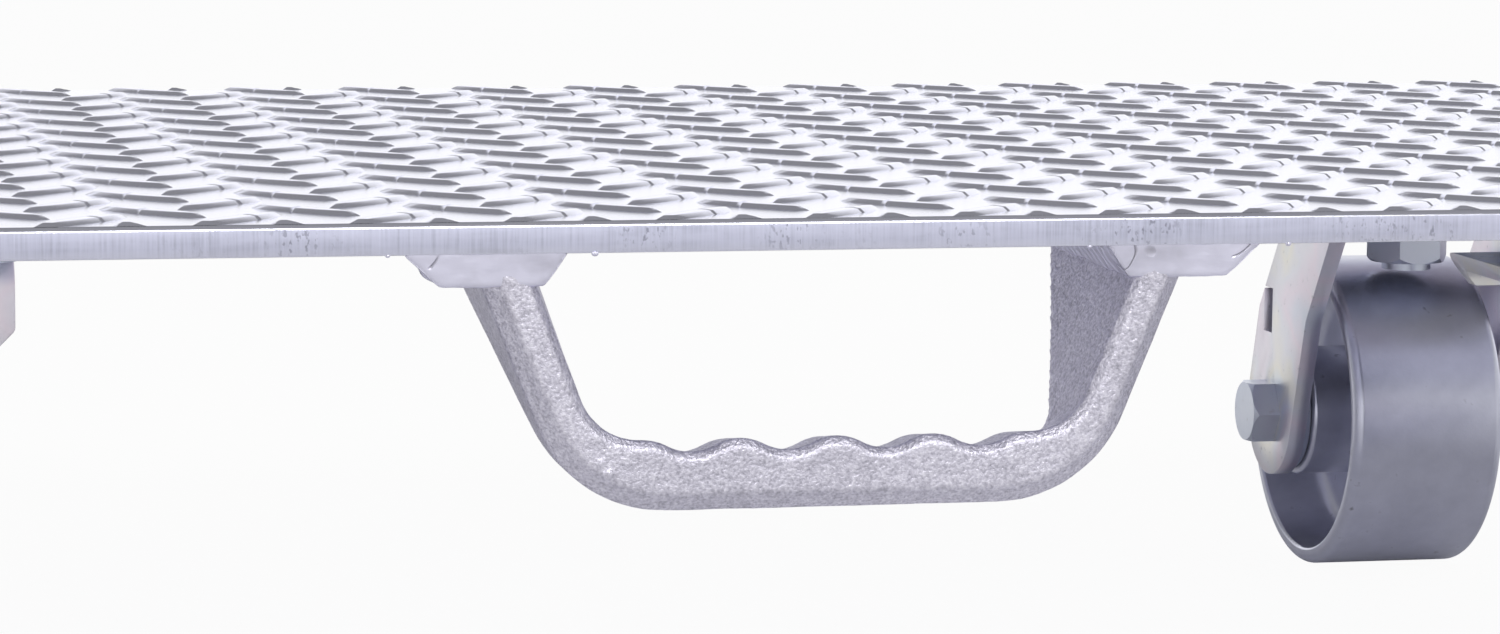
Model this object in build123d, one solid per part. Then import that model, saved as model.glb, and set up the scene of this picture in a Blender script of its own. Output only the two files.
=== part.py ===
"""Plate dolly: an aluminium tread-plate deck on two rigid and two swivel casters, with a welded-on
cast lift handle.

Millimetres. The origin is on the floor under the middle of the deck. +X runs along the deck's long
side, with the swivel casters at +X, and -Y is the side that carries the handle.
"""
from build123d import *
import math
import os

INCH = 25.4

# Deck, and where the casters sit under it
DECK_LENGTH = 30 * INCH
DECK_WIDTH = 16.5 * INCH
DECK_THICKNESS = 5 / 16 * INCH
DECK_CORNER_RADIUS = 10.0
SWIVEL_END_INSET = 112.0
RIGID_END_INSET = 126.65
CASTER_EDGE_INSET = 109.0
FRONT_SWIVEL_ANGLE = 0.0
REAR_SWIVEL_ANGLE = 90.0

# Caster top plate and the studs, washers and nuts that hold it
PLATE_THICKNESS = INCH / 4
PLATE_CORNER_RADIUS = 8.0
PLATE_END_MARGIN = 23.81
PLATE_SIDE_MARGIN = 12.6
STUD_SPACING_X = 2.625 * INCH
STUD_DIAMETER = 3 / 8 * INCH
STUD_HOLE_CLEARANCE = 0.5
STUD_FORK_CLEARANCE = 0.4
STUD_TIP = 1.0
WASHER_THICKNESS = 1.6
WASHER_DIAMETER = 17.0
STUD_NUT_ACROSS_FLATS = 9 / 16 * INCH
STUD_NUT_HEIGHT = 7.0

# Fork of both kinds of caster: bent plate with two legs that end in a round eye
FORK_PLATE = 5.5
FORK_BEND_RADIUS = 9.0
FORK_EYE_RADIUS = 21.0
SWIVEL_LEAD = 25.0

# Swivel head: two rows of balls round a kingpin
RACE_HEIGHT = 6.65
RACE_INNER_RADIUS = 25.0
RACE_OUTER_RADIUS = 37.0
RACE_BALL_DIAMETER = 5 / 16 * INCH
RACE_TRACK_DEPTH = 0.97
LOWER_BALL_DIAMETER = 3 / 16 * INCH
LOWER_TRACK_DEPTH = 1.38
LOWER_TRACK_OFFSET = 8.06
BALL_CLEARANCE = 0.12
BALL_SPACING = 0.6
CUP_THICKNESS = 4.0
CUP_RIM = 4.5
KINGPIN_DIAMETER = 5 / 8 * INCH
KINGPIN_HEAD_DEPTH = 5.0
KINGPIN_CLEARANCE = 0.4
KINGPIN_NUT_ACROSS_FLATS = 15 / 16 * INCH
KINGPIN_NUT_HEIGHT = 11.0
KINGPIN_TIP = 2.5
KINGPIN_WHEEL_CLEARANCE = 1.81
DUST_RING_WALL = 1.5
DUST_RING_GAP = 3.5

# Side outline of the swivel fork, from the kingpin
SWIVEL_NOSE = 53.5
SWIVEL_NOSE_SLANT = 9.0
SWIVEL_TAIL = 40.0
SWIVEL_SKIRT_DROP = 10.0
SWIVEL_LEG_FRONT = 30.0
SWIVEL_LEG_BACK = 14.0
SWIVEL_KNEE_FRONT = 8.0
SWIVEL_KNEE_BACK = 36.5
KNEE_ABOVE_AXLE = 33.8
SLOT_WIDTH = 8.0
SLOT_LENGTH = 14.7
SLOT_BEHIND_KINGPIN = 28.0
SLOT_ABOVE_AXLE = 33.3

# Side outline of the rigid fork
RIGID_PLATE_MARGIN = 0.3
RIGID_SKIRT_DROP = 19.65
RIGID_TAPER = 24.0

# Wheel, roller bearing and axle
WHEEL_DIAMETER = 4 * INCH
WHEEL_WIDTH = 2 * INCH
TREAD_CORNER_RADIUS = 3.0
RIM_THICKNESS = 5.0
RIM_DRAFT = 3.0
RIM_LIP_RADIUS = 1.0
WEB_THICKNESS = 9.0
WEB_FILLET = 5.0
HUB_WALL = 5.9
HUB_PROUD = 3.6
HUB_CORNER_RADIUS = 1.5
BEARING_OUTER_DIAMETER = 1.1875 * INCH
BEARING_INSET = 2.0
CAGE_SHARE = 0.42
CAGE_END = 3.5
ROLLER_CLEARANCE = 0.15
ROLLER_SPACING = 1.0
AXLE_SLEEVE_DIAMETER = 0.75 * INCH
AXLE_DIAMETER = 0.5 * INCH
AXLE_CLEARANCE = 0.1
THRUST_WASHER_DIAMETER = 38.0
THRUST_WASHER_THICKNESS = 2.2
THRUST_CLEARANCE = 0.3
AXLE_ACROSS_FLATS = 0.75 * INCH
AXLE_HEAD_HEIGHT = 8.5
AXLE_NUT_HEIGHT = 11.0
AXLE_TIP = 2.5

# Cast handle, hung under the deck's front edge, with deep feet that slope forward to a slim grip
HANDLE_SETBACK = 1.0
HANDLE_DEPTH = 56.5
HANDLE_DROP = 65.3
HANDLE_FRONT_FOOT = 13.5
HANDLE_OUTER_LEAN = 22.1
HANDLE_OUTER_RADIUS = 35.0
HANDLE_OUTER_DRAFT = 0.4
HANDLE_INNER_LEAN = 21.7
HANDLE_INNER_RADIUS = 16.0
HANDLE_INNER_EASE = 2.0
HANDLE_BACK_RADIUS = 2.0
HANDLE_BEVEL = 4.8
GRIP_HEIGHT = 18.4
GRIP_DEPTH = 18.5
GRIP_DRAFT = 8.0
GRIP_NECK = 1.4
GRIP_END_FLAT = 0.5
GRIP_BACK_FLAT = 0.8
FINGER_PITCH = 24.8
FINGER_COUNT = 4
FINGER_DEPTH = 3.2

# Weld bead round each of the handle's feet
BEAD_LEG = 8.5
BEAD_FRONT_SETBACK = 0.2
BEAD_OUTER_REACH = 16.7
BEAD_INNER_REACH = 11.0
BEAD_BACK_REACH = 7.0
BEAD_TOE_SHARE = 0.45

# Wheel set and fork widths, from the wheel outwards
HUB_LENGTH = WHEEL_WIDTH + 2 * HUB_PROUD
HUB_RADIUS = BEARING_OUTER_DIAMETER / 2 + HUB_WALL
BEARING_LENGTH = HUB_LENGTH - 2 * BEARING_INSET
ROLLER_LENGTH = BEARING_LENGTH - 2 * CAGE_END
FORK_INNER_WIDTH = HUB_LENGTH + 2 * (THRUST_WASHER_THICKNESS + THRUST_CLEARANCE)
FORK_OUTER_WIDTH = FORK_INNER_WIDTH + 2 * FORK_PLATE

# Top plate and studs, which stand clear of the fork
STUD_SPACING_Y = FORK_OUTER_WIDTH + STUD_NUT_ACROSS_FLATS + 2 * STUD_FORK_CLEARANCE
PLATE_LENGTH = STUD_SPACING_X + 2 * PLATE_END_MARGIN
PLATE_WIDTH = STUD_SPACING_Y + 2 * PLATE_SIDE_MARGIN
STUD_SEAT = PLATE_THICKNESS + WASHER_THICKNESS
STUD_END = STUD_SEAT + STUD_NUT_HEIGHT + STUD_TIP

# Depths of the swivel head below the mounting face
RACE_DEPTH = PLATE_THICKNESS + RACE_HEIGHT
RACE_CIRCLE = (RACE_INNER_RADIUS + RACE_OUTER_RADIUS) / 2
CROWN_TOP = RACE_DEPTH + RACE_BALL_DIAMETER - 2 * RACE_TRACK_DEPTH
RACE_BALL_DEPTH = (RACE_DEPTH + CROWN_TOP) / 2
CROWN_BOTTOM = CROWN_TOP + FORK_PLATE
CUP_TOP = CROWN_BOTTOM + LOWER_BALL_DIAMETER - 2 * LOWER_TRACK_DEPTH
LOWER_BALL_DEPTH = (CROWN_BOTTOM + CUP_TOP) / 2
LOWER_CIRCLE = KINGPIN_DIAMETER / 2 + LOWER_TRACK_OFFSET
CUP_BOTTOM = CUP_TOP + CUP_THICKNESS
KINGPIN_END = CUP_BOTTOM + KINGPIN_NUT_HEIGHT + KINGPIN_TIP

# Axle depth, which keeps the tread clear of the kingpin's end
WHEEL_RADIUS = WHEEL_DIAMETER / 2
PIN_TO_AXLE = SWIVEL_LEAD - KINGPIN_DIAMETER / 2
TREAD_FALL = WHEEL_RADIUS - math.sqrt(WHEEL_RADIUS ** 2 - PIN_TO_AXLE ** 2)
AXLE_DEPTH = KINGPIN_END + KINGPIN_WHEEL_CLEARANCE - TREAD_FALL + WHEEL_RADIUS
DECK_UNDERSIDE = AXLE_DEPTH + WHEEL_RADIUS

# Caster places
FRONT_EDGE = -DECK_WIDTH / 2
CASTER_Y = DECK_WIDTH / 2 - CASTER_EDGE_INSET
SWIVEL_X = DECK_LENGTH / 2 - SWIVEL_END_INSET
RIGID_X = DECK_LENGTH / 2 - RIGID_END_INSET

# Handle half widths, from the finger grip outwards
FINGER_END = FINGER_COUNT * FINGER_PITCH / 2
CORNER_SHARE = math.tan(math.radians((90 - HANDLE_INNER_LEAN) / 2))
INNER_LOW = FINGER_END + GRIP_END_FLAT + HANDLE_INNER_RADIUS * CORNER_SHARE
BACK_LOW = FINGER_END + GRIP_BACK_FLAT + HANDLE_BACK_RADIUS * CORNER_SHARE
OPENING_HEIGHT = HANDLE_DROP - GRIP_HEIGHT
INNER_TOP = INNER_LOW + OPENING_HEIGHT * math.tan(math.radians(HANDLE_INNER_LEAN))
BACK_DRAFT = INNER_LOW - BACK_LOW
BACK_FALL = HANDLE_DEPTH * math.tan(math.radians(GRIP_DRAFT))
OUTER_DRAFT = HANDLE_DEPTH * math.tan(math.radians(HANDLE_OUTER_DRAFT))
FOOT_HALF_SPAN = INNER_TOP + HANDLE_FRONT_FOOT
OUTER_LOW = FOOT_HALF_SPAN - HANDLE_DROP * math.tan(math.radians(HANDLE_OUTER_LEAN))


# Shapes used all over, with depths measured down from the mounting face

def disc(radius, top, bottom):
    return Pos(0, 0, -(top + bottom) / 2) * Cylinder(radius, bottom - top)


def ring(outer, inner, top, bottom):
    return disc(outer, top, bottom) - disc(inner, top - 1, bottom + 1)


def ball_track(circle, ball_diameter, depth):
    """The space that a row of balls sweeps, with its clearance."""
    return Pos(0, 0, -depth) * Torus(circle, ball_diameter / 2 + BALL_CLEARANCE)


def ball_row(circle, ball_diameter, depth):
    count = int(2 * math.pi * circle / (ball_diameter + BALL_SPACING))
    ball = Pos(0, 0, -depth) * Sphere(ball_diameter / 2)
    return [place * ball for place in PolarLocations(circle, count)]


def hexagon(across_flats, height):
    """Bolt head that stands on z = 0, with its top corners turned off."""
    blank = extrude(RegularPolygon(across_flats / 2, 6, major_radius=False), height)
    corner_radius = across_flats / math.sqrt(3)
    turned = disc(corner_radius, -height, 0)
    top_edge = turned.edges().group_by(Axis.Z)[-1]
    return blank & chamfer(top_edge, corner_radius - across_flats / 2)


def nut(across_flats, height, bore_diameter):
    return hexagon(across_flats, height) - disc(bore_diameter / 2, -height - 1, 1)


# Deck

def deck_plate():
    outline = RectangleRounded(DECK_LENGTH, DECK_WIDTH, DECK_CORNER_RADIUS)
    return Pos(0, 0, DECK_UNDERSIDE) * extrude(outline, DECK_THICKNESS)


# Cast handle and its welds

def upright_plane(y):
    return Plane(origin=(0, y, DECK_UNDERSIDE), x_dir=(1, 0, 0), z_dir=(0, -1, 0))


def finger_wave(start, crest):
    """One hollow of the grip, as tangent arcs from crest to crest."""
    quarter = FINGER_PITCH / 4
    middle = crest - FINGER_DEPTH / 2
    valley = crest - FINGER_DEPTH
    fall = TangentArc((start, crest), (start - quarter, middle), tangent=(-1, 0))
    hollow = ThreePointArc(
        (start - quarter, middle), (start - 2 * quarter, valley), (start - 3 * quarter, middle)
    )
    end = start - FINGER_PITCH
    rise = TangentArc((end, crest), (start - 3 * quarter, middle), tangent=(1, 0))
    return fall.edges() + hollow.edges() + rise.edges()


def opening_face(depth, widening, drop, corner_radius):
    """Outline of the hand opening at one depth, with the finger grip along its lower edge."""
    half_top = INNER_TOP + widening
    half_low = INNER_LOW + widening
    crest = -OPENING_HEIGHT - drop
    right = FilletPolyline(
        (half_top, 0), (half_low, crest), (FINGER_END, crest), radius=corner_radius
    )
    left = FilletPolyline(
        (-FINGER_END, crest), (-half_low, crest), (-half_top, 0), radius=corner_radius
    )
    edges = right.edges()
    for finger in range(FINGER_COUNT):
        edges += finger_wave(FINGER_END - finger * FINGER_PITCH, crest)
    edges += left.edges()
    edges += Line((-half_top, 0), (half_top, 0)).edges()
    return upright_plane(FRONT_EDGE + HANDLE_SETBACK + depth) * make_face(edges)


def outer_face(depth, narrowing):
    """Outline of the whole handle at one depth."""
    half_top = FOOT_HALF_SPAN - narrowing
    half_low = OUTER_LOW - narrowing
    low = narrowing - HANDLE_DROP
    sides = FilletPolyline(
        (-half_top, 0), (-half_low, low), (half_low, low), (half_top, 0), radius=HANDLE_OUTER_RADIUS
    )
    foot_line = Line((half_top, 0), (-half_top, 0))
    face = make_face(sides.edges() + foot_line.edges())
    return upright_plane(FRONT_EDGE + HANDLE_SETBACK + depth) * face


def handle_body():
    """The handle without its opening, with the outer edges of its front face bevelled."""
    body = loft([outer_face(0, 0), outer_face(HANDLE_DEPTH, OUTER_DRAFT)], ruled=True)
    front_edges = body.faces().sort_by(Axis.Y)[0].edges()
    bevelled = front_edges.sort_by(Axis.Z)[:-1]
    return chamfer(bevelled, HANDLE_BEVEL)


def back_relief():
    """What the handle's back leaves free: a slope down to the grip, then straight down behind it."""
    front_y = FRONT_EDGE + HANDLE_SETBACK
    neck = DECK_UNDERSIDE - OPENING_HEIGHT + GRIP_NECK
    floor = DECK_UNDERSIDE - HANDLE_DROP - 1
    corners = [
        (front_y + HANDLE_DEPTH, DECK_UNDERSIDE),
        (front_y + GRIP_DEPTH, neck),
        (front_y + GRIP_DEPTH, floor),
        (front_y + HANDLE_DEPTH + 1, floor),
        (front_y + HANDLE_DEPTH + 1, DECK_UNDERSIDE),
    ]
    section = Plane.YZ * make_face(Polyline(*corners, close=True))
    return extrude(section, FOOT_HALF_SPAN + 1, both=True)


def cast_handle():
    """Body with its opening, which narrows to the back and has its front edge eased."""
    front_radius = HANDLE_INNER_RADIUS + HANDLE_INNER_EASE
    grip_share = GRIP_DEPTH / HANDLE_DEPTH
    front = opening_face(0, HANDLE_INNER_EASE, HANDLE_INNER_EASE, front_radius)
    eased = opening_face(HANDLE_INNER_EASE, 0, 0, HANDLE_INNER_RADIUS)
    behind_grip = opening_face(
        GRIP_DEPTH, -BACK_DRAFT * grip_share, BACK_FALL * grip_share, HANDLE_BACK_RADIUS
    )
    back = opening_face(HANDLE_DEPTH, -BACK_DRAFT, BACK_FALL, HANDLE_BACK_RADIUS)
    opening = loft([front, eased, behind_grip, back], ruled=True)
    return handle_body() - opening - back_relief()


def bead_section(side, share, depth):
    """Level section of the collar round one foot, with its reach cut to a share of the full one."""
    front_y = FRONT_EDGE + BEAD_FRONT_SETBACK
    back_y = FRONT_EDGE + HANDLE_SETBACK + HANDLE_DEPTH + share * BEAD_BACK_REACH
    corners = [
        (side * (FOOT_HALF_SPAN + share * BEAD_OUTER_REACH), front_y),
        (side * (FOOT_HALF_SPAN + share * BEAD_BACK_REACH), back_y),
        (side * (INNER_TOP - BACK_DRAFT - share * BEAD_BACK_REACH), back_y),
        (side * (INNER_TOP - share * BEAD_INNER_REACH), front_y),
    ]
    return Pos(0, 0, DECK_UNDERSIDE - depth) * make_face(Polyline(*corners, close=True))


def weld_bead(handle, side):
    at_deck = bead_section(side, 1, 0)
    at_toe = bead_section(side, BEAD_TOE_SHARE, BEAD_LEG)
    return loft([at_deck, at_toe], ruled=True) - handle


# Caster top plates and their fasteners, about the middle of the mounting face

def stud_places():
    return GridLocations(STUD_SPACING_X, STUD_SPACING_Y, 2, 2)


def flat_top_plate():
    outline = RectangleRounded(PLATE_LENGTH, PLATE_WIDTH, PLATE_CORNER_RADIUS)
    plate = extrude(outline, -PLATE_THICKNESS)
    hole = disc(STUD_DIAMETER / 2 + STUD_HOLE_CLEARANCE, -1, PLATE_THICKNESS + 1)
    return plate - [place * hole for place in stud_places()]


def swivel_top_plate():
    race = ring(RACE_OUTER_RADIUS, RACE_INNER_RADIUS, PLATE_THICKNESS, RACE_DEPTH)
    track = ball_track(RACE_CIRCLE, RACE_BALL_DIAMETER, RACE_BALL_DEPTH)
    return flat_top_plate() + race - track - kingpin()


def studs():
    return [place * disc(STUD_DIAMETER / 2, 0, STUD_END) for place in stud_places()]


def stud_washers():
    bore = STUD_DIAMETER / 2 + STUD_HOLE_CLEARANCE
    washer = ring(WASHER_DIAMETER / 2, bore, PLATE_THICKNESS, STUD_SEAT)
    return [place * washer for place in stud_places()]


def stud_nuts():
    blank = nut(STUD_NUT_ACROSS_FLATS, STUD_NUT_HEIGHT, STUD_DIAMETER)
    seated = Pos(0, 0, -STUD_SEAT) * Rot(180, 0, 0) * blank
    return [place * seated for place in stud_places()]


# Swivel head

def kingpin():
    """Countersunk pin that holds the fork to the top plate."""
    radius = KINGPIN_DIAMETER / 2
    head = Cone(radius, radius + KINGPIN_HEAD_DEPTH, KINGPIN_HEAD_DEPTH)
    shank = disc(radius, KINGPIN_HEAD_DEPTH, KINGPIN_END)
    return Pos(0, 0, -KINGPIN_HEAD_DEPTH / 2) * head + shank


def kingpin_nut():
    blank = nut(KINGPIN_NUT_ACROSS_FLATS, KINGPIN_NUT_HEIGHT, KINGPIN_DIAMETER)
    return Pos(0, 0, -CUP_BOTTOM) * Rot(180, 0, 0) * blank


def lower_cup():
    cup = ring(LOWER_CIRCLE + CUP_RIM, KINGPIN_DIAMETER / 2, CUP_TOP, CUP_BOTTOM)
    return cup - ball_track(LOWER_CIRCLE, LOWER_BALL_DIAMETER, LOWER_BALL_DEPTH)


def dust_ring():
    outer = RACE_OUTER_RADIUS + DUST_RING_WALL
    return ring(outer, RACE_OUTER_RADIUS, PLATE_THICKNESS, CROWN_TOP - DUST_RING_GAP)


# Forks: a bent channel cut to its side outline, with the axle along Y

def bent_block(width, half_length, top, bottom, radius):
    block = Pos(0, 0, -(top + bottom) / 2) * Box(2 * half_length, width, bottom - top)
    return fillet(block.edges().filter_by(Axis.X).group_by(Axis.Z)[-1], radius)


def channel(crown_top, half_length):
    """Plate bent down along both sides, open below and at the ends."""
    bottom = AXLE_DEPTH + FORK_EYE_RADIUS
    inner_radius = FORK_BEND_RADIUS - FORK_PLATE
    outer = bent_block(FORK_OUTER_WIDTH, half_length, crown_top, bottom, FORK_BEND_RADIUS)
    hollow_top = crown_top + FORK_PLATE
    hollow = bent_block(FORK_INNER_WIDTH, half_length + 1, hollow_top, bottom + 1, inner_radius)
    return outer - hollow


def eye_tangent(point, eye, side):
    """Where a line from a point touches the round eye, on its front (-1) or its back (+1)."""
    reach = math.dist(point, eye)
    bearing = math.atan2(eye[1] - point[1], eye[0] - point[0])
    angle = bearing + side * math.asin(FORK_EYE_RADIUS / reach)
    length = math.sqrt(reach ** 2 - FORK_EYE_RADIUS ** 2)
    return (point[0] + length * math.cos(angle), point[1] + length * math.sin(angle))


def side_block(front, back, eye):
    """Block with the fork's side outline: front corners, the round eye, then back corners."""
    front_touch = eye_tangent(front[-1], eye, -1)
    back_touch = eye_tangent(back[0], eye, 1)
    lowest = (eye[0], eye[1] - FORK_EYE_RADIUS)
    edges = Polyline(*front, front_touch).edges()
    edges += ThreePointArc(front_touch, lowest, back_touch).edges()
    edges += Polyline(back_touch, *back, front[0]).edges()
    return extrude(Plane.XZ * make_face(edges), FORK_OUTER_WIDTH, both=True)


def axle_hole(x):
    hole = Rot(90, 0, 0) * Cylinder(AXLE_DIAMETER / 2 + AXLE_CLEARANCE, 2 * FORK_OUTER_WIDTH)
    return Pos(x, 0, -AXLE_DEPTH) * hole


def swivel_fork():
    skirt = CROWN_TOP + SWIVEL_SKIRT_DROP
    knee = AXLE_DEPTH - KNEE_ABOVE_AXLE
    front = [
        (-SWIVEL_NOSE, -CROWN_TOP),
        (SWIVEL_NOSE_SLANT - SWIVEL_NOSE, -skirt),
        (-SWIVEL_LEG_FRONT, -skirt),
        (-SWIVEL_KNEE_FRONT, -knee),
    ]
    back = [
        (SWIVEL_KNEE_BACK, -knee),
        (SWIVEL_LEG_BACK, -skirt),
        (SWIVEL_TAIL, -(CROWN_TOP + skirt) / 2),
        (SWIVEL_TAIL, -CROWN_TOP),
    ]
    half_length = SWIVEL_NOSE + SWIVEL_TAIL + SWIVEL_LEAD
    block = side_block(front, back, (SWIVEL_LEAD, -AXLE_DEPTH))
    slot_place = Pos(SLOT_BEHIND_KINGPIN, 0, SLOT_ABOVE_AXLE - AXLE_DEPTH)
    slot = slot_place * Box(SLOT_WIDTH, 2 * FORK_OUTER_WIDTH, SLOT_LENGTH)
    bore = disc(KINGPIN_DIAMETER / 2 + KINGPIN_CLEARANCE, 0, CUP_BOTTOM)
    upper_track = ball_track(RACE_CIRCLE, RACE_BALL_DIAMETER, RACE_BALL_DEPTH)
    lower_track = ball_track(LOWER_CIRCLE, LOWER_BALL_DIAMETER, LOWER_BALL_DEPTH)
    cuts = [slot, bore, upper_track, lower_track, axle_hole(SWIVEL_LEAD)]
    return (channel(CROWN_TOP, half_length) & block) - cuts


def rigid_fork():
    half_length = PLATE_LENGTH / 2 - RIGID_PLATE_MARGIN
    skirt = PLATE_THICKNESS + RIGID_SKIRT_DROP
    front = [
        (-half_length, -PLATE_THICKNESS),
        (-half_length, -skirt),
        (RIGID_TAPER - half_length, -(skirt + RIGID_TAPER)),
    ]
    back = [(-x, z) for x, z in reversed(front)]
    block = side_block(front, back, (0, -AXLE_DEPTH))
    return (channel(PLATE_THICKNESS, half_length + 1) & block) - axle_hole(0)


# Wheel set, about the middle of the axle, with the axle along Z until it is turned

def wheel():
    half_width = WHEEL_WIDTH / 2
    lip_radius = WHEEL_RADIUS - RIM_THICKNESS
    upper = [
        (BEARING_OUTER_DIAMETER / 2, HUB_LENGTH / 2, 0),
        (HUB_RADIUS, HUB_LENGTH / 2, HUB_CORNER_RADIUS),
        (HUB_RADIUS, WEB_THICKNESS / 2, WEB_FILLET),
        (lip_radius - RIM_DRAFT, WEB_THICKNESS / 2, WEB_FILLET),
        (lip_radius, half_width, RIM_LIP_RADIUS),
        (WHEEL_RADIUS, half_width, TREAD_CORNER_RADIUS),
    ]
    lower = [(r, -z, radius) for r, z, radius in reversed(upper)]
    points = [(r, z) for r, z, radius in upper + lower]
    radii = [radius for r, z, radius in upper + lower]
    section = Plane.XZ * make_face(FilletPolyline(*points, radius=radii, close=True))
    return revolve(section, Axis.Z)


def roller_bearing():
    """Cage and rollers that run between the hub and the axle sleeve."""
    outer = BEARING_OUTER_DIAMETER / 2
    inner = AXLE_SLEEVE_DIAMETER / 2
    pitch_radius = (outer + inner) / 2
    roller_radius = (outer - inner) / 2 - ROLLER_CLEARANCE
    half_wall = CAGE_SHARE * (outer - inner) / 2
    count = int(2 * math.pi * pitch_radius / (2 * roller_radius + ROLLER_SPACING))
    places = PolarLocations(pitch_radius, count)
    roller = Cylinder(roller_radius, ROLLER_LENGTH)
    pocket = Cylinder(roller_radius + ROLLER_CLEARANCE, ROLLER_LENGTH + 2 * ROLLER_CLEARANCE)
    cage = Cylinder(pitch_radius + half_wall, BEARING_LENGTH)
    cage -= Cylinder(pitch_radius - half_wall, BEARING_LENGTH + 2)
    cage -= [place * pocket for place in places]
    return [cage] + [place * roller for place in places]


def axle_sleeve():
    tube = Cylinder(AXLE_SLEEVE_DIAMETER / 2, FORK_INNER_WIDTH)
    return tube - Cylinder(AXLE_DIAMETER / 2 + AXLE_CLEARANCE, FORK_INNER_WIDTH + 2)


def thrust_washers():
    seat = FORK_INNER_WIDTH / 2
    bore = AXLE_SLEEVE_DIAMETER / 2 + AXLE_CLEARANCE
    washer = ring(THRUST_WASHER_DIAMETER / 2, bore, -seat, THRUST_WASHER_THICKNESS - seat)
    return [washer, Rot(180, 0, 0) * washer]


def axle_bolt():
    seat = FORK_OUTER_WIDTH / 2
    head = Pos(0, 0, seat) * hexagon(AXLE_ACROSS_FLATS, AXLE_HEAD_HEIGHT)
    return head + disc(AXLE_DIAMETER / 2, -seat, seat + AXLE_NUT_HEIGHT + AXLE_TIP)


def axle_nut():
    blank = nut(AXLE_ACROSS_FLATS, AXLE_NUT_HEIGHT, AXLE_DIAMETER)
    return Rot(180, 0, 0) * Pos(0, 0, FORK_OUTER_WIDTH / 2) * blank


# Assembly: every caster is made about its own mounting face and then put in its place

def solids_of(shape):
    if isinstance(shape, list):
        return [solid for piece in shape for solid in piece.solids()]
    return shape.solids()


def save(node, shape, place=Location()):
    solids = [place * solid for solid in solids_of(shape)]
    body = solids[0] if len(solids) == 1 else Compound(solids)
    export_step(body, os.path.join("parts", node + ".step"))


def save_wheel_set(corner, place, axle_x):
    """Wheel, bearing and axle, turned so that the axle lies along the fork's Y."""
    axle_place = place * Pos(axle_x, 0, -AXLE_DEPTH) * Rot(-90, 0, 0)
    save(corner + "_wheel", wheel(), axle_place)
    save(corner + "_roller_bearing", roller_bearing(), axle_place)
    save(corner + "_axle_sleeve", axle_sleeve(), axle_place)
    save(corner + "_thrust_washers", thrust_washers(), axle_place)
    save(corner + "_axle_bolt", axle_bolt(), axle_place)
    save(corner + "_axle_nut", axle_nut(), axle_place)


def save_swivel_caster(corner, place, angle):
    turned = place * Rot(0, 0, angle)
    race_balls = ball_row(RACE_CIRCLE, RACE_BALL_DIAMETER, RACE_BALL_DEPTH)
    lower_balls = ball_row(LOWER_CIRCLE, LOWER_BALL_DIAMETER, LOWER_BALL_DEPTH)
    save(corner + "_top_plate", swivel_top_plate(), place)
    save(corner + "_dust_ring", dust_ring(), place)
    save(corner + "_race_balls", race_balls, place)
    save(corner + "_lower_balls", lower_balls, place)
    save(corner + "_lower_cup", lower_cup(), place)
    save(corner + "_kingpin", kingpin(), place)
    save(corner + "_kingpin_nut", kingpin_nut(), place)
    save(corner + "_fork", swivel_fork(), turned)
    save_wheel_set(corner, turned, SWIVEL_LEAD)


def save_rigid_caster(corner, place):
    save(corner + "_top_plate", flat_top_plate(), place)
    save(corner + "_fork", rigid_fork(), place)
    save_wheel_set(corner, place, 0)


os.makedirs("parts", exist_ok=True)
front_right = Pos(SWIVEL_X, -CASTER_Y, DECK_UNDERSIDE)
rear_right = Pos(SWIVEL_X, CASTER_Y, DECK_UNDERSIDE)
front_left = Pos(-RIGID_X, -CASTER_Y, DECK_UNDERSIDE)
rear_left = Pos(-RIGID_X, CASTER_Y, DECK_UNDERSIDE)
casters = [front_right, rear_right, front_left, rear_left]

handle = cast_handle()
save("deck_plate", deck_plate())
save("cast_handle", handle)
save("handle_weld_beads", [weld_bead(handle, 1), weld_bead(handle, -1)])
save("mounting_studs", [place * stud for place in casters for stud in studs()])
save("mounting_washers", [place * washer for place in casters for washer in stud_washers()])
save("mounting_nuts", [place * blank for place in casters for blank in stud_nuts()])

save_swivel_caster("front_right", front_right, FRONT_SWIVEL_ANGLE)
save_swivel_caster("rear_right", rear_right, REAR_SWIVEL_ANGLE)
save_rigid_caster("front_left", front_left)
save_rigid_caster("rear_left", rear_left)
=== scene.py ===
"""Looks of the plate dolly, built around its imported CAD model. Metres, in the CAD's own frame."""
import math

import bmesh
import bpy
from mathutils import Matrix, Vector


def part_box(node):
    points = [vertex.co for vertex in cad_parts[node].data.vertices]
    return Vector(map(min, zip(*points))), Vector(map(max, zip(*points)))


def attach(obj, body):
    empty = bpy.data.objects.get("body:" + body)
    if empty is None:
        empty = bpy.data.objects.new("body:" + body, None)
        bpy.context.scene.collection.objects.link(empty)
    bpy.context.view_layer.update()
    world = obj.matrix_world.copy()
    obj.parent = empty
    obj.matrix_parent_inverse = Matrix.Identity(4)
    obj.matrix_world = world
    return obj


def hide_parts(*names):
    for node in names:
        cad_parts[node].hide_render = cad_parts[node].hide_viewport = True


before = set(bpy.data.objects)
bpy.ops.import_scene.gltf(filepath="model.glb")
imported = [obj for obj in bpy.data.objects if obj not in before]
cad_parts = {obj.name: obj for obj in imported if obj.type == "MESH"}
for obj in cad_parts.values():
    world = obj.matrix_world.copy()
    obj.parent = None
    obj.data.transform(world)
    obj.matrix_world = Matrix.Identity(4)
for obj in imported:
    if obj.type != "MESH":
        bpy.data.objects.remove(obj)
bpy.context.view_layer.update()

# Deck plate
# A sheet of rolled aluminium tread plate, sawn to a rectangle with its corners rounded. A file has broken
# the upper arris of its edges into a narrow slope, and the lower one is only dulled.
MM = 0.001
DECK_CORNER = 10 * MM
DECK_CORNER_STEPS = 8
DECK_SLOPE = 1.1 * MM
DECK_SLOPE_STEPS = 1
DECK_SLOPE_TURN = 0.25 * MM
DECK_LOW_ARRIS = 0.4 * MM
ARRIS_STEPS = 2
ALIGNED = 0.9
LEANING = 0.5
CROSSED = 0.1
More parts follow.
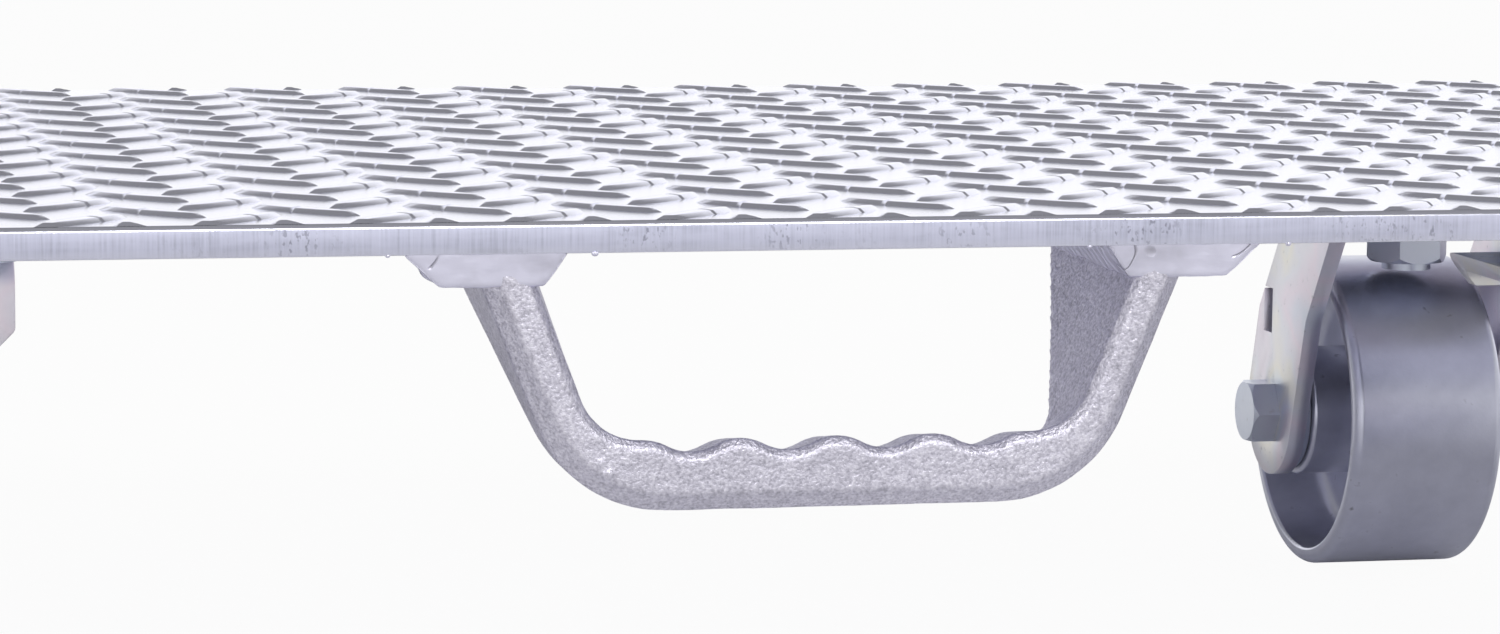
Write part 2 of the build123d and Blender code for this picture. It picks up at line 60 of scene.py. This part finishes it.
deck_low, deck_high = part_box("deck_plate")


def start_piece():
    bpy.ops.object.select_all(action="DESELECT")


def settle(piece):
    """Puts a piece's place, turn and scale into its mesh."""
    bpy.ops.object.transform_apply(location=True, rotation=True, scale=True)
    return piece


def pick(kind, test):
    """Selects the vertices, edges or faces of the piece in edit mode that pass a test."""
    bpy.ops.mesh.select_mode(type=kind)
    bpy.ops.mesh.select_all(action="DESELECT")
    mesh = bmesh.from_edit_mesh(bpy.context.object.data)
    for part in {"VERT": mesh.verts, "EDGE": mesh.edges, "FACE": mesh.faces}[kind]:
        if test(part):
            part.select_set(True)
    mesh.select_flush_mode()
    bmesh.update_edit_mesh(bpy.context.object.data)


def slopes(edge):
    """How level the flattest and the steepest face beside an edge are."""
    level = [abs(face.normal.z) for face in edge.link_faces]
    return max(level), min(level)


def is_upright(edge):
    run = edge.verts[1].co - edge.verts[0].co
    return abs(run.z) > ALIGNED * run.length


def is_arris(edge):
    """True where a level face meets an upright one."""
    flat, steep = slopes(edge)
    return flat > ALIGNED and steep < CROSSED


def is_top_arris(edge):
    return is_arris(edge) and edge.verts[0].co.z > deck_high.z - DECK_LOW_ARRIS


def is_low_arris(edge):
    return is_arris(edge) and edge.verts[0].co.z < deck_low.z + DECK_LOW_ARRIS


def is_slope_foot(edge):
    """True where the file's slope meets a side of the deck."""
    flat, steep = slopes(edge)
    return LEANING < flat < ALIGNED and steep < CROSSED


def bevel_edges(test, width, steps):
    pick("EDGE", test)
    bpy.ops.mesh.bevel(offset=width, segments=steps, affect="EDGES")


def deck_block(name, low, high):
    """A block with the deck's rounded outline, left in edit mode."""
    start_piece()
    bpy.ops.mesh.primitive_cube_add(size=1, location=(low + high) / 2, scale=high - low)
    block = settle(bpy.context.object)
    block.name = name
    bpy.ops.object.mode_set(mode="EDIT")
    bevel_edges(is_upright, DECK_CORNER, DECK_CORNER_STEPS)
    return block


tread_plate = deck_block("tread_plate", deck_low, deck_high)
bevel_edges(is_top_arris, DECK_SLOPE, DECK_SLOPE_STEPS)
bevel_edges(is_slope_foot, DECK_SLOPE_TURN, ARRIS_STEPS)
bevel_edges(is_low_arris, DECK_LOW_ARRIS, ARRIS_STEPS)
bpy.ops.object.mode_set(mode="OBJECT")

# Lugs of the tread, and the deck's finish
# Raised spindles that the roll presses into the plate, in two families at right angles. A mark in the roll
# nicks each one, and the file's slope cuts through those on the deck's edges. The metal is mill bright.
LUG_PITCH = 37.8 * MM
LUG_START = Vector((-53.88, -141.51, 0)) * MM
LUG_LENGTH = 34.5 * MM
LUG_WIDTH = 7.8 * MM
LUG_SIDES = 16
LUG_SINK = 0.1 * MM
LUG_FLANK = 0.95 * MM
LUG_CROWN = 0.15 * MM
LUG_FLANK_SHARES = (0.82, 0.62)
LUG_CROWN_SHARES = (0.75, 0.4)
LUG_TURN = math.pi / 4
LUG_COLUMNS = range(-9, 13)
LUG_ROWS = range(-2, 11)
RISING_SHIFT = 0.5
FALLING_NICK = -2.1 * MM
RISING_NICK = 4.0 * MM
NICK_HALF = 0.4 * MM
NICK_REACH = 1.1 * NICK_HALF
NICK_SLOPE = 0.35 * MM
NICK_DEPTH = 0.15
NICK_CUT_SNAP = 0.001 * MM
TRIM_RISE = 4 * MM
SMOOTH_BELOW = math.radians(32)
DECK_FACE_TINTS = [(0.3, (0.81, 0.815, 0.95)), (0.7, (0.88, 0.885, 1.0))]
DECK_EDGE_TINTS = [(0.3, (0.5, 0.51, 0.63)), (0.5, (0.66, 0.67, 0.82)), (0.7, (0.74, 0.75, 0.91))]
# Painted shade that darkens the pits on the deck's edges.
PAINTED_PIT_SHADE = (0.2, 0.2, 0.27, 1)
ROLL_STREAKS = (12, 500, 500)
SAW_MARKS = (1500, 1500, 60)
SAW_STAINS = (45, 45, 260)
PIT_GRAIN = (1000, 1000, 560)


def work_modifier(piece, kind, **settings):
    modifier = piece.modifiers.new("work", kind)
    for name, value in settings.items():
        setattr(modifier, name, value)
    bpy.ops.object.modifier_apply(modifier=modifier.name)


def is_top_face(face):
    return face.normal.z > ALIGNED


def edge_trimmer():
    """A block with the deck's outline, whose sides lean in above the foot of the file's slope."""
    block = deck_block("edge_trimmer", deck_low, deck_high - Vector((0, 0, DECK_SLOPE)))
    pick("FACE", is_top_face)
    bpy.ops.mesh.inset(thickness=TRIM_RISE, depth=TRIM_RISE)
    bpy.ops.object.mode_set(mode="OBJECT")
    return block


def raise_ring(rise, shares):
    """Extrudes the lug's top and shrinks it to a share of its length and width."""
    bpy.ops.mesh.extrude_region_move(TRANSFORM_OT_translate={"value": (0, 0, rise)})
    bpy.ops.transform.resize(value=(*shares, 1))


def cut_nick(nick):
    """Lowers a narrow strip across the lug in edit mode."""
    for offset in (NICK_HALF, NICK_HALF + NICK_SLOPE):
        for side in (-1, 1):
            bpy.ops.mesh.select_all(action="SELECT")
            place = (nick + side * offset, 0, 0)
            bpy.ops.mesh.bisect(plane_co=place, plane_no=(1, 0, 0), threshold=NICK_CUT_SNAP)
    pick("VERT", lambda vertex: abs(vertex.co.x - nick) < NICK_REACH and vertex.co.z > 0)
    bpy.ops.transform.resize(value=(1, 1, NICK_DEPTH), center_override=(nick, 0, 0))


def one_lug(name, nick):
    """A spindle along X with sloping flanks and a narrow top, closed below and sunk into the plate."""
    start_piece()
    bpy.ops.mesh.primitive_circle_add(
        vertices=LUG_SIDES, radius=LUG_LENGTH / 2, fill_type="NGON", location=(0, 0, -LUG_SINK)
    )
    lug = bpy.context.object
    lug.name = name
    lug.rotation_euler.z = math.pi / 2
    settle(lug)
    lug.scale.y = LUG_WIDTH / LUG_LENGTH
    settle(lug)
    bpy.ops.object.mode_set(mode="EDIT")
    bpy.ops.mesh.select_all(action="SELECT")
    raise_ring(LUG_SINK + LUG_FLANK, LUG_FLANK_SHARES)
    raise_ring(LUG_CROWN, LUG_CROWN_SHARES)
    bpy.ops.mesh.select_all(action="SELECT")
    bpy.ops.mesh.normals_make_consistent(inside=False)
    cut_nick(nick)
    bpy.ops.object.mode_set(mode="OBJECT")
    return lug


def lug_family(name, turn, shift, nick):
    """Lugs of one direction, all over the deck and trimmed to its edges."""
    lug = one_lug(name, nick)
    first = LUG_START + Vector((LUG_COLUMNS[0] + shift, LUG_ROWS[0] + shift, 0)) * LUG_PITCH
    first.z = deck_high.z
    lug.rotation_euler.z = turn
    lug.location = first
    settle(lug)
    for step, count in (((LUG_PITCH, 0, 0), LUG_COLUMNS), ((0, LUG_PITCH, 0), LUG_ROWS)):
        work_modifier(
            lug,
            "ARRAY",
            use_relative_offset=False,
            use_constant_offset=True,
            constant_offset_displace=step,
            count=len(count),
        )
    work_modifier(lug, "BOOLEAN", operation="INTERSECT", object=trimmer, solver="EXACT")
    return lug


def join_into(target, pieces):
    start_piece()
    for piece in pieces:
        piece.select_set(True)
    target.select_set(True)
    bpy.context.view_layer.objects.active = target
    bpy.ops.object.join()


trimmer = edge_trimmer()
falling_lugs = lug_family("falling_lugs", -LUG_TURN, 0, FALLING_NICK)
rising_lugs = lug_family("rising_lugs", LUG_TURN, RISING_SHIFT, RISING_NICK)
bpy.data.objects.remove(trimmer)
join_into(tread_plate, (falling_lugs, rising_lugs))
bpy.ops.object.shade_smooth_by_angle(angle=SMOOTH_BELOW)


class Wire:
    """A socket of a material's nodes, so that shader sums read as plain arithmetic."""

    def __init__(self, tree, socket=None):
        self.tree = tree
        self.socket = socket

    def put(self, socket, value):
        if isinstance(value, Wire):
            self.tree.links.new(value.socket, socket)
        else:
            socket.default_value = value

    def node(self, kind, settings, sockets, output=0):
        made = self.tree.nodes.new("ShaderNode" + kind)
        for name, value in settings.items():
            if name == "stops":
                self.set_stops(made.color_ramp, value)
            else:
                setattr(made, name, value)
        for name, value in sockets.items():
            self.put(made.inputs[name], value)
        return Wire(self.tree, made.outputs[output])

    def set_stops(self, ramp, stops):
        while len(ramp.elements) < len(stops):
            ramp.elements.new(1)
        for element, (place, colour) in zip(ramp.elements, stops):
            element.position = place
            element.color = (*colour, 1)

    def sum(self, operation, first, second):
        return self.node("Math", {"operation": operation}, {0: first, 1: second})

    def __add__(self, other):
        return self.sum("ADD", self, other)

    __radd__ = __add__

    def __mul__(self, other):
        return self.sum("MULTIPLY", self, other)

    __rmul__ = __mul__

    def __sub__(self, other):
        return self.sum("SUBTRACT", self, other)

    def __rsub__(self, other):
        return self.sum("SUBTRACT", other, self)

    def __abs__(self):
        return self.sum("ABSOLUTE", self, 0.0)

    def where(self, coordinates="Object"):
        return self.node("TexCoord", {}, {}, coordinates)

    def axis(self, vector, name):
        return self.node("SeparateXYZ", {}, {"Vector": vector}, name)

    def noise(self, place, scale, detail=3.0):
        return self.node("TexNoise", {}, {"Vector": place, "Scale": scale, "Detail": detail}, "Fac")

    def streaks(self, place, stretch, detail=3.0):
        """Noise with a scale of its own along each axis."""
        stretched = self.node("Mapping", {}, {"Vector": place, "Scale": stretch}, "Vector")
        return self.noise(stretched, 1.0, detail)

    def ramp(self, factor, stops):
        return self.node("ValToRGB", {"stops": stops}, {"Fac": factor}, "Color")

    def blend(self, factor, first, second):
        return self.node("Mix", {"data_type": "RGBA"}, {0: factor, 6: first, 7: second}, 2)

    def span(self, value, low, high):
        """0 below low, 1 above high, and straight in between."""
        return self.node("MapRange", {}, {"Value": value, "From Min": low, "From Max": high})

    def bump(self, height, distance, strength):
        sockets = {"Height": height, "Distance": distance, "Strength": strength}
        return self.node("Bump", {}, sockets, "Normal")


def new_finish(name):
    material = bpy.data.materials.new(name)
    material.use_nodes = True
    return material, Wire(material.node_tree)


def feed(material, sockets):
    wire = Wire(material.node_tree)
    shader = material.node_tree.nodes["Principled BSDF"]
    for name, value in sockets.items():
        wire.put(shader.inputs[name], value)


def tread_finish():
    """Mill-bright aluminium: rolling streaks on the faces, saw marks and patches of pits on the edges, with
    painted shade in the pits.
    """
    material, wire = new_finish("mill_bright_aluminium")
    place = wire.where()
    up = wire.axis(wire.where("Normal"), "Z")
    steep = 1 - wire.span(abs(up), 0.1, 0.35)
    rolling = wire.streaks(place, ROLL_STREAKS)
    clouds = wire.noise(place, 14.0)
    saw = wire.streaks(place, SAW_MARKS, 4.0)
    stains = wire.streaks(place, SAW_STAINS)
    patches = wire.span(wire.noise(place, 34.0, 1.0), 0.49, 0.62)
    pits = wire.span(wire.streaks(place, PIT_GRAIN, 2.0), 0.59, 0.67)
    pitted = pits * patches * steep
    face_colour = wire.ramp(clouds * 0.7 + rolling * 0.3, DECK_FACE_TINTS)
    edge_colour = wire.ramp(saw * 0.5 + stains * 0.5, DECK_EDGE_TINTS)
    metal = wire.blend(steep, face_colour, edge_colour)
    feed(material, {
        # The pits are darkened with painted shade.
        "Base Color": wire.blend(pitted * 0.6, metal, PAINTED_PIT_SHADE),
        "Metallic": 1.0,
        "Roughness": 0.17 + clouds * 0.08 + steep * 0.2,
        "Normal": wire.bump(saw * steep + rolling * 0.1 - pitted, 0.12 * MM, 0.4),
    })
    return material


tread_plate.data.materials.append(tread_finish())
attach(tread_plate, "frame")
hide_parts("deck_plate")

# Lift handle
# One aluminium sand casting with a wavy finger grip and splayed legs. The sand leaves a grainy skin, the
# pattern's draft leaves every edge soft, and a flaw of the mould leaves two lumps on the lower left bend.
HANDLE_VOXEL = 0.6 * MM
HANDLE_SMOOTHING = 3
CASTING_WAVE = 9 * MM
CASTING_WAVE_HEIGHT = 0.25 * MM
MERGE_WITHIN = 0.01 * MM
LUMP_SEGMENTS = 16
LUMP_RINGS = 8
MOULD_LUMPS = ((-60.4, 52.2, 1.3), (-58.4, 55.0, 1.6))
MOULD_LUMP_SETBACK = 1.2
MOULD_LUMP_SCALE = (1, 0.6, 1)
CAST_TINTS = [(0.32, (0.42, 0.41, 0.48)), (0.5, (0.69, 0.67, 0.77)), (0.66, (0.92, 0.9, 1.0))]


def shape_copy(node, name):
    """A new piece that starts from a CAD node's shape, with its triangles merged."""
    start_piece()
    piece = bpy.data.objects.new(name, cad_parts[node].data.copy())
    piece.data.materials.clear()
    bpy.context.scene.collection.objects.link(piece)
    piece.select_set(True)
    bpy.context.view_layer.objects.active = piece
    bpy.ops.object.mode_set(mode="EDIT")
    bpy.ops.mesh.select_all(action="SELECT")
    bpy.ops.mesh.customdata_custom_splitnormals_clear()
    bpy.ops.mesh.remove_doubles(threshold=MERGE_WITHIN)
    bpy.ops.object.mode_set(mode="OBJECT")
    return piece


def uneven(name, size):
    clouds = bpy.data.textures.new(name, "CLOUDS")
    clouds.noise_scale = size
    return clouds


def smooth(piece, times):
    work_modifier(piece, "SMOOTH", factor=0.5, iterations=times)


def lump(x, setback, down, radius, scale):
    """A ball of metal under the deck's front edge, measured from that edge in millimetres."""
    start_piece()
    place = Vector((x * MM, deck_low.y + setback * MM, deck_low.z - down * MM))
    bpy.ops.mesh.primitive_uv_sphere_add(
        segments=LUMP_SEGMENTS, ring_count=LUMP_RINGS, radius=radius * MM, location=place, scale=scale
    )
    return settle(bpy.context.object)


def cast_finish():
    """Sand-cast aluminium: grains and pits that glint, over slow changes of tone."""
    material, wire = new_finish("sand_cast_aluminium")
    place = wire.where()
    grain = wire.noise(place, 1250.0, 4.0)
    lumps = wire.noise(place, 420.0)
    tone = wire.noise(place, 45.0)
    feed(material, {
        "Base Color": wire.ramp(grain * 0.6 + lumps * 0.25 + tone * 0.15, CAST_TINTS),
        "Metallic": 1.0,
        "Roughness": 0.6 - grain * 0.3,
        "Normal": wire.bump(grain + lumps * 0.8, 0.4 * MM, 0.8),
    })
    return material


cast_handle = shape_copy("cast_handle", "finger_grip_handle")
mould_flaws = []
for x, down, radius in MOULD_LUMPS:
    mould_flaws.append(lump(x, MOULD_LUMP_SETBACK, down, radius, MOULD_LUMP_SCALE))
join_into(cast_handle, mould_flaws)
work_modifier(cast_handle, "REMESH", mode="VOXEL", voxel_size=HANDLE_VOXEL)
smooth(cast_handle, HANDLE_SMOOTHING)
work_modifier(
    cast_handle, "DISPLACE", texture=uneven("casting", CASTING_WAVE), strength=CASTING_WAVE_HEIGHT
)
bpy.ops.object.shade_smooth()
cast_handle.data.materials.append(cast_finish())
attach(cast_handle, "frame")
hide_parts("cast_handle")

# Weld beads
# A fat aluminium fillet run round each foot of the handle in one pass. The metal flows in smooth lobes over
# the foot, leans back at its lower edge and thins towards the rear, and drops of spatter stick beside it.
BEAD_VOXEL = 0.6 * MM
BEAD_ROOT = 4 * MM
BEAD_TOE = 5 * MM
BEAD_LEAN = 0.7 * MM
BEAD_RUN = 30 * MM
BEAD_BACK_RISE = 3.5 * MM
BEAD_LOBES = ((98.5, 4.9, 3.8, 4.0), (77.0, 4.9, 2.0, 3.6))
BEAD_LOBE_SCALE = (1.8, 1, 1)
BEAD_SMOOTHING = 9
BEAD_LAST_SMOOTHING = 3
FLOW_WAVE = 8 * MM
FLOW_WAVE_HEIGHT = 0.7 * MM
FLOW_WAVE_MIDDLE = 0.7
SPATTER = ((-62.4, 0.3, 0.1, 0.7), (-113.5, 0.4, 0.0, 0.5), (64.0, 0.5, 0.1, 0.5), (116.5, 0.4, 0.1, 0.6))
SPATTER_SCALE = (1.3, 1, 1)
WELD_TINTS = [(0.28, (0.62, 0.61, 0.72)), (0.48, (0.78, 0.77, 0.91)), (0.7, (0.86, 0.85, 1.0))]
# Painted shade that darkens the weld's creases.
PAINTED_CREASE_SHADE = (0.3, 0.29, 0.33, 1)
WELD_FLOW = (70, 70, 160)
WELD_RIPPLE = {"Scale": 85.0, "Distortion": 4.0, "Detail": 2.0, "Detail Scale": 2.0}


def close_over(side):
    """Closes one bead over the foot that it wraps."""
    pick("VERT", lambda vertex: vertex.co.x * side > 0)
    bpy.ops.mesh.convex_hull()


def shift_toe(from_y, shift):
    """Moves the lower edge of both beads, from a given distance behind the front on."""
    toe = deck_low.z - BEAD_TOE
    pick("VERT", lambda vertex: vertex.co.z < toe and vertex.co.y > from_y)
    bpy.ops.transform.translate(value=shift)


def weld_finish():
    """Pale weld metal: smooth in front with short creases darkened by painted shade, rippled along the
    sides of a foot.
    """
    material, wire = new_finish("pale_weld_metal")
    place = wire.where()
    sideways = abs(wire.axis(wire.where("Normal"), "X"))
    flow = wire.streaks(place, WELD_FLOW)
    smoke = wire.noise(place, 90.0)
    ripple = wire.node("TexWave", {"bands_direction": "Y"}, {"Vector": place, **WELD_RIPPLE}, "Fac")
    side_ripple = ripple * wire.span(sideways, 0.4, 0.6)
    seams = abs(wire.noise(place, 75.0, 1.0) - 0.5)
    crease = (1 - wire.span(seams, 0.0, 0.014)) * wire.span(wire.noise(place, 110.0, 1.0), 0.5, 0.58)
    pale = wire.ramp(smoke * 0.6 + flow * 0.4, WELD_TINTS)
    feed(material, {
        # The creases are darkened with painted shade.
        "Base Color": wire.blend(crease * 0.5, pale, PAINTED_CREASE_SHADE),
        "Metallic": 1.0,
        "Roughness": 0.36 + smoke * 0.14,
        "Normal": wire.bump(flow * 0.4 + side_ripple - crease * 0.5, 0.9 * MM, 0.8),
    })
    return material


weld_beads = shape_copy("handle_weld_beads", "weld_beads")
bpy.ops.object.mode_set(mode="EDIT")
close_over(1)
close_over(-1)
pick("FACE", is_top_face)
bpy.ops.mesh.extrude_region_move(TRANSFORM_OT_translate={"value": (0, 0, BEAD_ROOT)})
shift_toe(deck_low.y, (0, BEAD_LEAN, 0))
shift_toe(deck_low.y + BEAD_RUN, (0, 0, BEAD_BACK_RISE))
bpy.ops.object.mode_set(mode="OBJECT")
lobes = []
for side in (-1, 1):
    for x, setback, down, radius in BEAD_LOBES:
        lobes.append(lump(side * x, setback, down, radius, BEAD_LOBE_SCALE))
join_into(weld_beads, lobes)
work_modifier(weld_beads, "REMESH", mode="VOXEL", voxel_size=BEAD_VOXEL)
smooth(weld_beads, BEAD_SMOOTHING)
work_modifier(
    weld_beads,
    "DISPLACE",
    texture=uneven("flow", FLOW_WAVE),
    strength=FLOW_WAVE_HEIGHT,
    mid_level=FLOW_WAVE_MIDDLE,
)
smooth(weld_beads, BEAD_LAST_SMOOTHING)
join_into(weld_beads, [lump(*drop, SPATTER_SCALE) for drop in SPATTER])
bpy.ops.object.shade_smooth()
weld_beads.data.materials.append(weld_finish())
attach(weld_beads, "frame")
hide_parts("handle_weld_beads")

# Forks
# Steel plate, cut out and bent down along both sides, with the cut edges tumbled soft. The zinc plating's
# passivation shows faint pink, yellow and blue.
CORNERS = ("front_right", "rear_right", "front_left", "rear_left")
SWIVELS = CORNERS[:2]
FORK_EASE = 0.7 * MM
FORK_EASE_STEPS = 2
FLAT_WITHIN = math.radians(0.5)
SHARP_FROM = math.radians(40)
FORK_TINTS = [
    (0.30, (0.72, 0.75, 0.84)),
    (0.44, (0.82, 0.75, 0.83)),
    (0.54, (0.78, 0.78, 0.84)),
    (0.64, (0.83, 0.81, 0.76)),
    (0.76, (0.73, 0.78, 0.85)),
]
DULL_SPOT = (0.5, 0.5, 0.54, 1)


def zinc_finish(name, tints):
    """Zinc plate: pale clouds of the given tints over bright steel, with small dull spots."""
    material, wire = new_finish(name)
    place = wire.where()
    clouds = wire.noise(place, 30.0, 2.0)
    spots = wire.noise(place, 420.0)
    feed(material, {
        "Base Color": wire.blend(wire.span(spots, 0.66, 0.85), wire.ramp(clouds, tints), DULL_SPOT),
        "Metallic": 1.0,
        "Roughness": 0.26 + spots * 0.14,
        "Normal": wire.bump(spots, 0.1 * MM, 0.3),
    })
    return material


def soften(piece):
    """Merges the flat faces of a copied fork and rounds its edges a little."""
    bpy.ops.object.mode_set(mode="EDIT")
    bpy.ops.mesh.select_all(action="SELECT")
    bpy.ops.mesh.dissolve_limited(angle_limit=FLAT_WITHIN)
    bpy.ops.object.mode_set(mode="OBJECT")
    work_modifier(
        piece,
        "BEVEL",
        width=FORK_EASE,
        segments=FORK_EASE_STEPS,
        limit_method="ANGLE",
        angle_limit=SHARP_FROM,
    )
    bpy.ops.object.shade_smooth_by_angle(angle=SMOOTH_BELOW)


fork_zinc = zinc_finish("pastel_zinc_plate", FORK_TINTS)
for corner in CORNERS:
    fork = shape_copy(corner + "_fork", corner + "_pressed_fork")
    soften(fork)
    fork.data.materials.append(fork_zinc)
    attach(fork, corner + "_swivel" if corner in SWIVELS else "frame")
    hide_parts(corner + "_fork")

# Caster fittings
# Top plates, kingpins, studs, washers, nuts and bolts, zinc plated with a bluer passivation than the forks.
# Their solids already have the turned corners that show.
BLUE_TINTS = [(0.3, (0.57, 0.62, 0.74)), (0.7, (0.66, 0.69, 0.78))]


def dress(nodes, material):
    """Gives CAD nodes their finish."""
    for node in nodes:
        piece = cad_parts[node]
        piece.data.materials.clear()
        piece.data.materials.append(material)


def named(corners, *pieces):
    return [corner + "_" + piece for corner in corners for piece in pieces]


blue_zinc = zinc_finish("blue_zinc_plate", BLUE_TINTS)
dress(["mounting_studs", "mounting_washers", "mounting_nuts"], blue_zinc)
dress(named(CORNERS, "top_plate", "axle_bolt", "axle_nut", "thrust_washers"), blue_zinc)
dress(named(SWIVELS, "dust_ring", "lower_cup", "kingpin", "kingpin_nut"), blue_zinc)

# Bearings
# Hardened steel balls in the swivel heads, and hardened rollers in the wheels with the ground sleeves that
# they run on. All carry a film of oil.
BEARING_TINTS = [(0.3, (0.45, 0.45, 0.46)), (0.7, (0.66, 0.66, 0.68))]


def bearing_finish():
    """Ground steel under oil that is thicker in some places."""
    material, wire = new_finish("ground_bearing_steel")
    film = wire.noise(wire.where(), 160.0)
    feed(material, {
        "Base Color": wire.ramp(film, BEARING_TINTS),
        "Metallic": 1.0,
        "Roughness": 0.16 + film * 0.14,
    })
    return material


bearing_steel = bearing_finish()
dress(named(CORNERS, "roller_bearing", "axle_sleeve"), bearing_steel)
dress(named(SWIVELS, "race_balls", "lower_balls"), bearing_steel)

# Wheels
# Solid grey iron castings, turned smooth on the tread and left as cast in the dished sides. Each one turns
# on the rollers in its bore, between two thrust washers.
WHEEL_TINTS = [(0.32, (0.61, 0.62, 0.73)), (0.68, (0.77, 0.78, 0.9))]
MARK_SHADE = (0.34, 0.34, 0.4, 1)


def wheel_finish():
    """Smooth grey iron with slow smudges and a few small marks."""
    material, wire = new_finish("smooth_grey_iron")
    place = wire.where()
    smudge = wire.noise(place, 26.0)
    marks = wire.noise(place, 210.0)
    grain = wire.noise(place, 900.0)
    tone = wire.ramp(smudge * 0.75 + marks * 0.25, WHEEL_TINTS)
    feed(material, {
        "Base Color": wire.blend(wire.span(marks, 0.68, 0.8), tone, MARK_SHADE),
        "Metallic": 0.9,
        "Roughness": 0.26 + smudge * 0.1,
        "Normal": wire.bump(grain + marks, 0.12 * MM, 0.25),
    })
    return material


dress(named(CORNERS, "wheel"), wheel_finish())

# Studio
# A white floor that stays white to the camera and keeps a faint shadow. The surround is white behind and
# ahead, softer on the right, dim on the left and dark overhead, and one soft lamp hangs in front.
FLOOR_SIZE = 12
FLOOR_SHADE = (0.9, 0.9, 0.9, 1)
FLOOR_ROUGHNESS = 0.9
FLOOR_LIFT = 0.95
FLOOR_MIRROR_NEAR = 0.02
FLOOR_MIRROR_FAR = 0.7
WHITE = (1, 1, 1, 1)
BEHIND = 1.12
AHEAD = 1.1
AHEAD_FALL = 0.3
LEFT_SHADE = 0.7
CEILING = 0.26
LAMP_PLACE = Vector((0.35, -1.9, 1.9))
LAMP_TARGET = Vector((0, -0.15, 0.1))
LAMP_SIZE = 1.0
LAMP_POWER = 24


def seen(wire, ray):
    return wire.node("LightPath", {}, {}, "Is " + ray + " Ray")


def floor_finish():
    """White paint that glows to the camera, and in mirrors where it lies behind the dolly."""
    material, wire = new_finish("white_floor")
    feed(material, {"Base Color": FLOOR_SHADE, "Roughness": FLOOR_ROUGHNESS})
    glow = wire.node("Emission", {}, {"Color": WHITE, "Strength": 1.0}, "Emission")
    matt = Wire(wire.tree, wire.tree.nodes["Principled BSDF"].outputs["BSDF"])
    behind = wire.span(wire.axis(wire.where(), "Y"), 0.2, 0.5)
    mirror = FLOOR_MIRROR_NEAR + behind * (FLOOR_MIRROR_FAR - FLOOR_MIRROR_NEAR)
    mirrored = (seen(wire, "Glossy") + seen(wire, "Transmission")) * mirror
    lift = seen(wire, "Camera") * FLOOR_LIFT + mirrored
    mixed = wire.node("MixShader", {}, {0: lift, 1: matt, 2: glow})
    wire.put(wire.tree.nodes["Material Output"].inputs["Surface"], mixed)
    return material


start_piece()
bpy.ops.mesh.primitive_plane_add(size=FLOOR_SIZE, location=(0, 0, 0))
floor = bpy.context.object
floor.name = "studio_floor"
floor.data.materials.append(floor_finish())

world = bpy.data.worlds.new("studio_surround")
bpy.context.scene.world = world
world.use_nodes = True
sky = Wire(world.node_tree)
direction = sky.where("Generated")
across, along, height = [sky.axis(direction, name) for name in ("X", "Y", "Z")]
ahead = AHEAD - sky.span(across, -0.1, 0.5) * AHEAD_FALL
walls = ahead + sky.span(along, -0.1, 0.5) * (BEHIND - ahead)
leftward = (1 - sky.span(across, -0.75, -0.35)) * sky.span(along, -0.4, 0.1)
walls = walls * (1 - leftward * LEFT_SHADE)
overhead = sky.span(height, 0.42, 0.62)
surround = walls * (1 - overhead) + overhead * CEILING
backdrop = sky.blend(seen(sky, "Camera"), surround, WHITE)
sky.put(world.node_tree.nodes["Background"].inputs["Color"], backdrop)

start_piece()
bpy.ops.object.light_add(type="AREA", location=LAMP_PLACE)
lamp = bpy.context.object
lamp.name = "key_lamp"
lamp.data.size = LAMP_SIZE
lamp.data.energy = LAMP_POWER
lamp.rotation_euler = (LAMP_TARGET - LAMP_PLACE).to_track_quat("-Z", "Y").to_euler()

# Camera
# Placed where the photograph was taken from, low and to the left of the handle, with a long lens. Its place
# and turn were solved from the lattice of the tread.
EYE = Vector((-0.2851, -1.3217, 0.2716))
RIGHT = Vector((0.973685, -0.227605, 0.011935))
UP = Vector((0.016839, 0.124064, 0.992131))
FORWARD = Vector((0.227293, 0.965817, -0.124630))
SENSOR = 36
LENS = 112.03
NEAREST = 0.02

start_piece()
bpy.ops.object.camera_add()
camera = bpy.context.object
turn = Matrix((RIGHT, UP, -FORWARD)).transposed().to_4x4()
camera.matrix_world = Matrix.Translation(EYE) @ turn
camera.data.sensor_fit = "HORIZONTAL"
camera.data.sensor_width = SENSOR
camera.data.lens = LENS
camera.data.clip_start = NEAREST
bpy.context.scene.camera = camera
bpy.context.scene.view_settings.view_transform = "Standard"

# Size
# The view layer is brought up to date. The lugs stand about 1 mm above the solids, and the spatter less
# than that in front of them.
bpy.context.view_layer.update()
